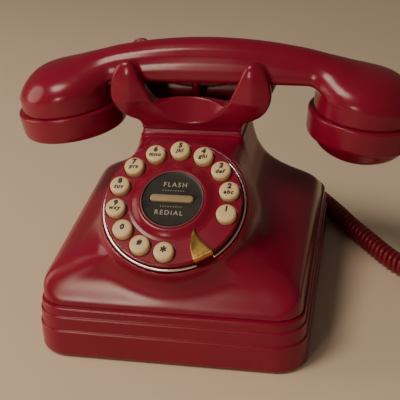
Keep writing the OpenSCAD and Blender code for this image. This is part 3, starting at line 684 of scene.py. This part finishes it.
CR_TROUGH = [(-17.3, 165), (-17.0, 139), (-16.2, 135.9), (-15.1, 132.6), (-14.4, 128), (-13.8, 122.4), (-12.6, 119.2), (-10.2, 115.4), (-9, 112), (-7, 108.6), (-4, 106.7),
             (0, 106.4), (4, 106.7), (7, 108.6), (9, 112), (10.2, 115.4), (12.6, 119.2), (13.8, 122.4), (14.4, 128), (15.2, 133.6), (16.3, 137.6), (17.0, 141), (17.3, 165)]
cr_out = Outline(mirrored(CR_OUT), 0.9, 0.4)
cr_scoop = Outline(mirrored(CR_SCOOP), 0.8, 0.4)
cr_rear = Outline(mirrored(CR_REAR), 0.8, 0.4)
cr_side = Outline(CR_SIDE, 0.8, 0.4)
cr_trough = Outline(CR_TROUGH, 0.7, 0.4)


def cradle_field(x, y, z):
    u = y - 16
    # the rear prongs stand a little higher than the front ones
    tall = 1 + 0.21 * np.clip((u + 6) / 12, 0, 1)
    ze = np.where(z > 128, 128 + (z - 128) / tall, z)
    # each prong has a soft upright ridge
    ridge = 0.42 * (np.hypot(np.abs(x) - 34.6, 4.4) - 4.4)
    ridge = 4.0 * np.tanh(ridge / 4.0)
    fade = np.clip((z - 101) / 16, 0, 1)
    ridge = ridge * fade * fade * (3 - 2 * fade)
    d = smax(cr_out(x, ze), cr_side(u + np.sign(u) * ridge, z), 3.4)
    soft = 1.1 + 2.2 * np.clip((z - 119) / 12, 0, 1)
    d = smax(d, -smax(cr_scoop(x, z), u - 1, 1.0), soft)
    d = smax(d, -smax(cr_rear(x, ze), 1.0 - u, 1.0), soft)
    d = smax(d, -cr_trough(u, z), 1.1)
    # shallow dish in front between the prongs: part of a cylinder that leans back
    lean = rad(28.4)
    deep = (u + 50.6) * math.cos(lean) - (z - 119.1) * math.sin(lean)
    d = smax(d, 36.0 - np.hypot(x, deep), 0.9)
    # room for the caps beside the prongs, and the guide of the plunger
    d = smax(d, 32.3 - np.hypot(np.abs(x) - 73.6, u), 0.8)
    d = smax(d, 97.7 - z, 0.6)
    return smax(d, -smax(np.hypot(x, u) - 2.75, 90 - z, 0.5), 0.5)


P, Q, N = solid_mesh(cradle_field, (-50, -11, 95), (50, 43, 144), 0.8)
finish_piece("cradle_yoke", P, Q, RED, "base", ["cradle"], normals=N)


# ---------------------------------------------------------------- handset
SECTION = [(0, 0), (10.4, 0), (12.2, 0.7), (13.0, 2.2), (13.1, 4.4), (12.7, 7.6), (11.8, 11.4), (10.3, 15.4), (8.1, 19), (5.3, 21.6), (2.4, 22.8), (0, 23)]
section = Outline(mirrored(SECTION), 0.6, 0.3)
ROUND_END = [(0, 6), (28.2, 6), (28.2, 14.8), (28.9, 15.0), (28.9, 18), (28.9, 70), (0, 70)]
round_end = Outline(mirrored(ROUND_END), 0.3, 0.3)
BELL_IN = [(0, 0), (25.9, 0), (25.9, 16), (25.0, 20), (23.2, 24.6), (20.2, 29), (16.0, 32.8), (11, 35.4), (6, 36.8), (0, 37.2)]
bell_in = Outline(mirrored(BELL_IN), 0.35, 0.3)
# the line along the back of the handset, from the grip over the round end, and the inner corner it swings round
PIVOT, INNER, SWING = (53.4, -4.6), 4.6, rad(97.4)
crest = spline([(45, 19.1, 0), (53.4, 17.52, 0), (60, 15.9, 0), (67, 14.0, 0), (74, 12.1, 0), (80, 10.3, 0), (88, 8.2, 0), (95, 6.2, 0), (101, 4.0, 0), (106, 0.9, 0),
                (110.4, -3.7, 0), (113.6, -8.5, 0), (115.3, -12.65, 0), (116.4, -17.4, 0)], 12)
crest_turn = np.arctan2(crest[:, 0] - PIVOT[0], crest[:, 1] - PIVOT[1])
crest_far = np.hypot(crest[:, 0] - PIVOT[0], crest[:, 1] - PIVOT[1])
swell = spline([(-10, 13.1, 0), (0, 13.1, 0), (20, 13.4, 0), (36, 14.4, 0), (48.7, 16.0, 0), (60, 18.3, 0), (70, 21.1, 0), (76.4, 23.4, 0), (81.5, 25.3, 0), (86, 26.8, 0),
                (90.4, 28.0, 0), (94.6, 28.7, 0), (97.4, 28.9, 0), (104, 28.9, 0)], 12)


def arch(x):
    a = np.abs(x)
    return 23 - a * a / 520.0


def handset_field(x, y, z):
    hx, hy, hz = local(HANDSET, x, y, z)
    a = np.abs(hx)
    k = np.clip(arch(a) / 23.0, 0.3, 1.2)
    grip = section(hy, hz / k) * np.clip(k, 0.5, 1)
    # past the grip its section swings round the inner corner and swells into the round end
    dx, dz = a - PIVOT[0], hz - PIVOT[1]
    turn = np.arctan2(dx, dz)
    tall = np.interp(turn, crest_turn, crest_far) - INNER
    wide = np.interp(turn, np.radians(swell[:, 0]), swell[:, 1])
    t = (np.hypot(dx, dz) - INNER) / tall
    m = np.clip(turn / SWING, 0, 1)
    m = m * m * (3 - 2 * m)
    bend = (1 - m) * section(hy * 13.1 / wide, t * 23.0) * (tall / 23.0) + m * (np.hypot(hy / wide, 2 * t - 1) - 1) * np.minimum(wide, tall / 2)
    ends = [local(CAP[s], x, y, z) for s in (-1, 1)]
    tube = np.where(hx < 0, round_end(np.hypot(ends[0][0], ends[0][1]), ends[0][2]), round_end(np.hypot(ends[1][0], ends[1][1]), ends[1][2]))
    d = np.where(a < PIVOT[0], grip, np.where(turn < SWING, bend, tube))
    for s in (-1, 1):
        cx, cy, cz = local(CAP[s], x, y, z)
        if s == 1:
            boss = box3(cx - 23, cy, cz - 22.1, 7.6, 7.6, 7.0, 2.0)
            d = smin(d, boss, 3.0)
            d = smax(d, -box3(cx - 30, cy, cz - 21.9, 20, 5.6, 5.7, 0.4), 0.5)
        d = smax(d, -bell_in(np.hypot(cx, cy), cz), 0.6)
        d = smax(d, 7.2 - cz + np.where(np.sign(hx) == s, 0, -200), 0.5)
    return d


P, Q, N = solid_mesh(handset_field, (-112, -20, 92), (133, 52, 150), 1.0)
finish_piece("grip_shell", P, Q, RED, "handset", ["handset_grip"], normals=N)

ear_line = rounded([(0, 5.0), (28.6, 3.4), (28.6, 14.9), (31.1, 14.9), (31.6, 14.0), (31.05, 2.3), (30.0, 0.3), (27.4, 0.0), (26.3, 0.9), (19.4, 1.7), (0, 2.6)],
                   [0.4, 0.2, 0.5, 0.7, 1.3, 0.9, 0.6, 0.8, 3.0], 5)[::-1]
mouth_line = rounded([(0, -10.6), (12.8, -9.0), (21.6, -4.0), (25.2, 2.4), (28.6, 3.4), (28.6, 14.9), (31.1, 14.9), (31.6, 14.0), (31.05, 2.3), (30.1, 0.4), (27.9, -0.4),
                      (26.4, -2.2), (23.7, -6.0), (19.2, -9.3), (13.2, -11.8), (6.6, -12.9), (0, -13.2)],
                     [5, 4, 2, 0.4, 0.2, 0.5, 0.7, 1.2, 0.9, 1.2, 2.0, 4, 4, 4, 4], 5)[::-1]


def pierced(name, line, s, holes, body_nodes):
    v, f = lathe(line, 128)
    obj = finish_piece(name, v, f, RED, "handset", body_nodes, matrix=CAP[s])
    cutters = []
    for x, y, r in holes:
        cv, cf = lathe([(0, -20), (r, -20), (r, 9), (0, 9)], 24)
        cv, cf = moved((cv, cf), CAP[s] @ Matrix.Translation((x, y, 0)))
        mesh = bpy.data.meshes.new("cutter")
        mesh.from_pydata((cv * MM).tolist(), [], cf)
        c = bpy.data.objects.new("cutter", mesh)
        scene.collection.objects.link(c)
        cutters.append(c)
    boolean(obj, cutters)
    obj.data.polygons.foreach_set("use_smooth", [True] * len(obj.data.polygons))
    obj.data.set_sharp_from_angle(angle=rad(32))
    return obj


round_holes = [(0, 0, 1.5)] + [(8 * math.cos(rad(a)), 8 * math.sin(rad(a)), 1.5) for a in range(0, 360, 60)]
pierced("earpiece_shell", ear_line, -1, round_holes, ["earpiece_cap"])
pierced("mouthpiece_shell", mouth_line, 1, round_holes, ["mouthpiece_cap"])


# ---------------------------------------------------------------- dial
def curve_plate(name, outlines, depth, bevel, z, mat, body, replaces=(), extra=()):
    """Flat plate with holes and rounded edges, from closed outlines in the dial's plane; z is its top."""
    cu = bpy.data.curves.new(name, "CURVE")
    cu.dimensions = "2D"
    cu.fill_mode = "BOTH"
    cu.extrude = (depth / 2 - bevel) * MM
    cu.bevel_depth = bevel * MM
    cu.bevel_resolution = 3
    cu.offset = -bevel * MM
    for line in outlines:
        sp = cu.splines.new("POLY")
        sp.points.add(len(line) - 1)
        for p, (x, y) in zip(sp.points, line):
            p.co = (x * MM, y * MM, 0, 1)
        sp.use_cyclic_u = True
    tmp = bpy.data.objects.new(name, cu)
    scene.collection.objects.link(tmp)
    dg = bpy.context.evaluated_depsgraph_get()
    mesh = bpy.data.meshes.new_from_object(tmp.evaluated_get(dg))
    v = [tuple(np.array(w.co) / MM + np.array((0, 0, z - depth / 2))) for w in mesh.vertices]
    f = [list(p.vertices) for p in mesh.polygons]
    bpy.data.objects.remove(tmp)
    bpy.data.curves.remove(cu)
    bpy.data.meshes.remove(mesh)
    v, f = add([(v, f)] + list(extra))
    return finish_piece(name, v, f, mat, body, replaces, matrix=DIAL, sharp=30)


def ring_of(r, n, cx=0.0, cy=0.0, ccw=True):
    a = [2 * math.pi * k / n * (1 if ccw else -1) for k in range(n)]
    return [(cx + r * math.cos(t), cy + r * math.sin(t)) for t in a]


key_at = {}
for i, k in enumerate(KEYS):
    a = rad(-KEY_STEP / 2 + i * KEY_STEP)
    key_at[k] = (30 * math.cos(a), 30 * math.sin(a))

hub = lathe(rounded([(16.9, -5.4), (16.9, -1.0), (18.2, -0.95), (19.8, -1.7), (21.6, -2.75), (24.0, -3.25), (24.0, -5.4)], [0.3, 1.2, 1.4, 1.8, 0.0], 6)[::-1], 128)
skirt = lathe(rounded([(35.75, -9), (36.45, -9), (36.45, -4.6), (35.75, -4.6)], 0.15, 3), 160, closed=True)
curve_plate("dial_face", [ring_of(36.45, 160)] + [ring_of(5.6, 48, x, y, False) for x, y in key_at.values()] + [ring_of(18.2, 96, ccw=False)],
            2.4, 0.5, -3.2, RED, "base", ["dial_plate"], [hub, skirt])

# trim ring with a gap behind the finger stop
gap0, gap1 = rad(-63.5), rad(-49.0)
n = 220
a0, a1 = gap1, gap0 + 2 * math.pi
line = np.array([(37.5 * math.cos(a0 + (a1 - a0) * k / n), 37.5 * math.sin(a0 + (a1 - a0) * k / n), -7.7) for k in range(n + 1)])
rv, rf = tube_mesh(line, np.full(n + 1, 0.72), 14)
finish_piece("trim_wire", rv, rf, CHROME, "base", ["trim_ring"], matrix=DIAL)

# keys and their legends
key_line = rounded([(0, 0.02), (4.2, -0.02), (5.1, -0.5), (5.28, -1.5), (5.3, -6.3), (3, -6.3), (3, -9), (0, -9)], [2.0, 0.9, 0.8, 0.2, 0.1, 0.2], 5)[::-1]


def letters(name, words, size, at, mat, body, bold=0.0, shear=0.0, space=1.0, height=0.1, lift=0.05):
    cu = bpy.data.curves.new(name, "FONT")
    cu.body = words
    cu.size = size * MM
    cu.align_x = "CENTER"
    cu.align_y = "CENTER"
    cu.shear = shear
    cu.space_character = space
    cu.bevel_depth = bold * MM
    cu.bevel_resolution = 1
    cu.extrude = height / 2 * MM
    cu.resolution_u = 6
    tmp = bpy.data.objects.new(name, cu)
    scene.collection.objects.link(tmp)
    dg = bpy.context.evaluated_depsgraph_get()
    mesh = bpy.data.meshes.new_from_object(tmp.evaluated_get(dg))
    v = np.array([tuple(w.co) for w in mesh.vertices]) / MM
    mid = (v[:, :2].min(0) + v[:, :2].max(0)) / 2
    v[:, :2] += np.array(at[:2]) - mid
    v[:, 2] += at[2] + lift - v[:, 2].max()
    f = [list(p.vertices) for p in mesh.polygons]
    bpy.data.objects.remove(tmp)
    bpy.data.curves.remove(cu)
    bpy.data.meshes.remove(mesh)
    return finish_piece(name, v, f, mat, body, matrix=DIAL, smooth=False)


for k in KEYS:
    x, y = key_at[k]
    v, f = lathe(key_line, 48)
    finish_piece("cap_" + k, v, f, CREAM, "key_%s_body" % k, ["key_" + k], matrix=DIAL @ Matrix.Translation((x, y, 0)))
    sign = {"hash": "#", "star": "*"}.get(k, k)
    plain = k in ("0", "hash", "star")
    big = {"star": 7.0, "hash": 3.7}.get(k, 4.0)
    letters("digit_" + k, sign, big, (x, y + (0.7 if plain else 2.35), 0.03), INK, "key_%s_body" % k, bold=0.36, shear=0.06, lift=0.13)
    if k in LETTERS:
        letters("letters_" + k, LETTERS[k], 3.2, (x, y - 1.2, 0.03), INK, "key_%s_body" % k, bold=0.22, shear=0.2, space=1.18, lift=0.08)

# centre disc with its legends
disc_line = rounded([(0, -0.9), (15.6, -0.9), (16.2, -0.55), (16.75, -0.75), (16.75, -5.6), (18.4, -5.6), (18.4, -7.2), (0, -7.2)], [0.5, 0.3, 0.3, 0.2, 0.2, 0.2], 4)[::-1]
dv, df = lathe(disc_line, 128)
disc = finish_piece("centre_badge", dv, df, BLACK_DISC, "base", ["centre_disc"])
bar_cut = []
for k in range(64):
    a = 2 * math.pi * k / 64
    sx = 9.6 if math.cos(a) > 0 else -9.6
    bar_cut.append((sx + 2.6 * math.cos(a), 2.6 * math.sin(a)))
cut_v, cut_f = loft([[(x, y, -20) for x, y in bar_cut], [(x, y, 10) for x, y in bar_cut]])
mesh = bpy.data.meshes.new("cutter")
mesh.from_pydata((np.array(cut_v) * MM).tolist(), [], cut_f)
c = bpy.data.objects.new("cutter", mesh)
scene.collection.objects.link(c)
boolean(disc, [c])
disc.data.transform(Matrix.Scale(MM, 4) @ DIAL @ Matrix.Scale(1 / MM, 4))
disc.data.polygons.foreach_set("use_smooth", [True] * len(disc.data.polygons))
disc.data.set_sharp_from_angle(angle=rad(30))
# pinkish ring laid on the crown of the black disc's rounded rim: painted reflection of the red housing around it
reflection_ring_v, reflection_ring_f = lathe(rounded([(16.0, -0.75), (16.35, -0.45), (16.85, -0.7), (16.85, -1.4), (16.0, -1.4)], [0.3, 0.3, 0.1], 4)[::-1], 128, closed=True)
finish_piece("badge_rim_painted_reflection", reflection_ring_v, reflection_ring_f, PAINTED_RIM_REFLECTION, "base", matrix=DIAL)
letters("legend_flash", "FLASH", 3.7, (0.6, 8.6, -0.9), PRINT, "base", bold=0.06, space=1.32)
letters("legend_redial", "REDIAL", 3.7, (-0.6, -8.0, -0.9), PRINT, "base", bold=0.06, space=1.32)
dots = []
for row in (5.0, -4.6):
    for k in range(9):
        x = (k - 4) * 1.35
        tri = [(x - 0.36, row - 0.3), (x + 0.36, row - 0.3), (x, row + 0.34)] if row > 0 else [(x - 0.36, row + 0.3), (x, row - 0.34), (x + 0.36, row + 0.3)]
        dots.append(loft([[(a, b, -0.92) for a, b in tri], [(a, b, -0.84) for a, b in tri]]))
dv, df = add(dots)
finish_piece("legend_arrows", dv, df, PRINT, "base", matrix=DIAL, smooth=False)

# rocker bar
bar = []
profile = rounded([(2.15, -4), (2.15, -0.1), (1.7, 0.35), (0.0, 0.45)], [0.8, 0.8], 5)
for off, z in profile[:-1]:
    line = []
    for k in range(72):
        a = 2 * math.pi * k / 72
        sx = 9.5 if math.cos(a) > 1e-9 else -9.5
        line.append((sx + off * math.cos(a), off * math.sin(a), z))
    bar.append(line)
bv, bf = loft(bar)
pins = [moved(lathe([(0, 0), (0.7, 0), (0.7, 3.0), (0, 3.0)], 20), Matrix.Translation((s * 11.6 - 1.5, 0, -2.2)) @ Matrix.Rotation(rad(90), 4, "Y")) for s in (-1, 1)]
bv, bf = add([(bv, bf)] + pins)
finish_piece("rocker_bar", bv, bf, BAR, "rocker", ["function_rocker"], matrix=DIAL, sharp=35)

# finger stop: a claw that rises outwards, with a bright folded lip over the trim ring
CLAW = [(13.4, -15.6), (12.9, -18), (12.8, -20.5), (12.9, -23.5), (13.4, -26.6), (14.3, -29.8), (15.6, -33.0), (16.0, -33.8),
        (18.4, -33.0), (20.8, -31.8), (23.0, -30.2), (24.6, -28.6), (23.4, -27.2), (21.4, -25.4), (19.4, -23.7), (17.4, -21.8), (15.7, -19.6), (14.5, -17.4), (13.9, -15.7)]
cl = spline(list((x, y, 0) for x, y in CLAW) + [(13.4, -15.6, 0)], 4)[:-1, :2]


def inset(line, d):
    p = np.array(line)
    t = np.roll(p, -1, 0) - np.roll(p, 1, 0)
    t /= np.linalg.norm(t, axis=1, keepdims=True)
    nrm = np.stack([-t[:, 1], t[:, 0]], 1)
    area = 0.5 * np.sum(p[:, 0] * np.roll(p[:, 1], -1) - np.roll(p[:, 0], -1) * p[:, 1])
    return p + nrm * d * (1 if area > 0 else -1)


def claw_top(p):
    out = np.hypot(p[:, 0], p[:, 1])
    return -2.1 + 2.3 * np.clip((out - 20) / 17, 0, 1)


area = 0.5 * np.sum(cl[:, 0] * np.roll(cl[:, 1], -1) - np.roll(cl[:, 0], -1) * cl[:, 1])
if area < 0:
    cl = cl[::-1]
rows = []
for d, kind in [(0.1, "low"), (0.0, "low2"), (0.0, "side"), (0.12, "b1"), (0.38, "b2"), (0.7, "top")]:
    p = inset(cl, d)
    zt = claw_top(cl)
    z = {"low": np.full(len(cl), -3.25), "low2": np.full(len(cl), -3.1), "side": zt - 0.5, "b1": zt - 0.16, "b2": zt - 0.02, "top": zt}[kind]
    rows.append([(a, b, c) for (a, b), c in zip(p, z)])
cv, cf = loft(rows)
# folded lip at the outer end, down to the ring
e0, e1 = np.array((16.2, -34.0)), np.array((24.8, -28.7))
lip = []
for t in np.linspace(0.02, 0.98, 9):
    q = e0 + (e1 - e0) * t
    o = q / np.linalg.norm(q)
    lip.append([tuple(q - o * 0.6) + (-0.6,), tuple(q - o * 0.5) + (0.32,), tuple(q + o * 0.25) + (0.42,), tuple(q + o * 0.95) + (0.1,),
                tuple(q + o * 1.25) + (-0.9,), tuple(q + o * 1.15) + (-2.2,), tuple(q + o * 0.2) + (-2.2,)])
lv, lf = loft(lip)
lf = [f[::-1] for f in lf]
cv, cf = add([(cv, cf), (lv, lf)])
finish_piece("stop_claw", cv, cf, GOLD, "base", ["finger_stop"], matrix=DIAL, sharp=40)


# ---------------------------------------------------------------- floor and light
fm = bpy.data.materials.new("floor")
fm.use_nodes = True
fb = fm.node_tree.nodes["Principled BSDF"]
tex = fm.node_tree.nodes.new("ShaderNodeTexNoise")
tex.inputs["Scale"].default_value = 6.0
tex.inputs["Detail"].default_value = 5.0
tone = fm.node_tree.nodes.new("ShaderNodeValToRGB")
tone.color_ramp.elements[0].color = (0.75, 0.62, 0.48, 1)
tone.color_ramp.elements[1].color = (0.80, 0.67, 0.53, 1)
fm.node_tree.links.new(tex.outputs["Fac"], tone.inputs["Fac"])
fm.node_tree.links.new(tone.outputs["Color"], fb.inputs["Base Color"])
fb.inputs["Roughness"].default_value = 0.6
mesh = bpy.data.meshes.new("floor")
mesh.from_pydata([(-6, -6, -0.0005), (6, -6, -0.0005), (6, 6, -0.0005), (-6, 6, -0.0005)], [], [(0, 1, 2, 3)])
mesh.materials.append(fm)
floor = bpy.data.objects.new("floor", mesh)
scene.collection.objects.link(floor)


def lamp(name, at, to, size, power, colour):
    data = bpy.data.lights.new(name, "AREA")
    data.shape = "DISK"
    data.size = size
    data.energy = power
    data.color = colour
    o = bpy.data.objects.new(name, data)
    scene.collection.objects.link(o)
    o.location = at
    o.rotation_euler = (Vector(to) - Vector(at)).to_track_quat("-Z", "Y").to_euler()
    return o


lamp("front_light", (-0.34, -1.15, 0.40), (0, 0, 0.085), 0.22, 2.6, (1.0, 0.83, 0.64))
lamp("top_light", (-0.60, -0.55, 1.25), (0, 0, 0.06), 0.55, 11.0, (1.0, 0.84, 0.66))
lamp("side_light", (-1.00, -0.10, 0.40), (-0.05, 0, 0.08), 0.7, 3.8, (1.0, 0.84, 0.66))
world = bpy.data.worlds.new("world")
world.use_nodes = True
world.node_tree.nodes["Background"].inputs["Color"].default_value = (0.95, 0.82, 0.68, 1)
world.node_tree.nodes["Background"].inputs["Strength"].default_value = 0.11
scene.world = world
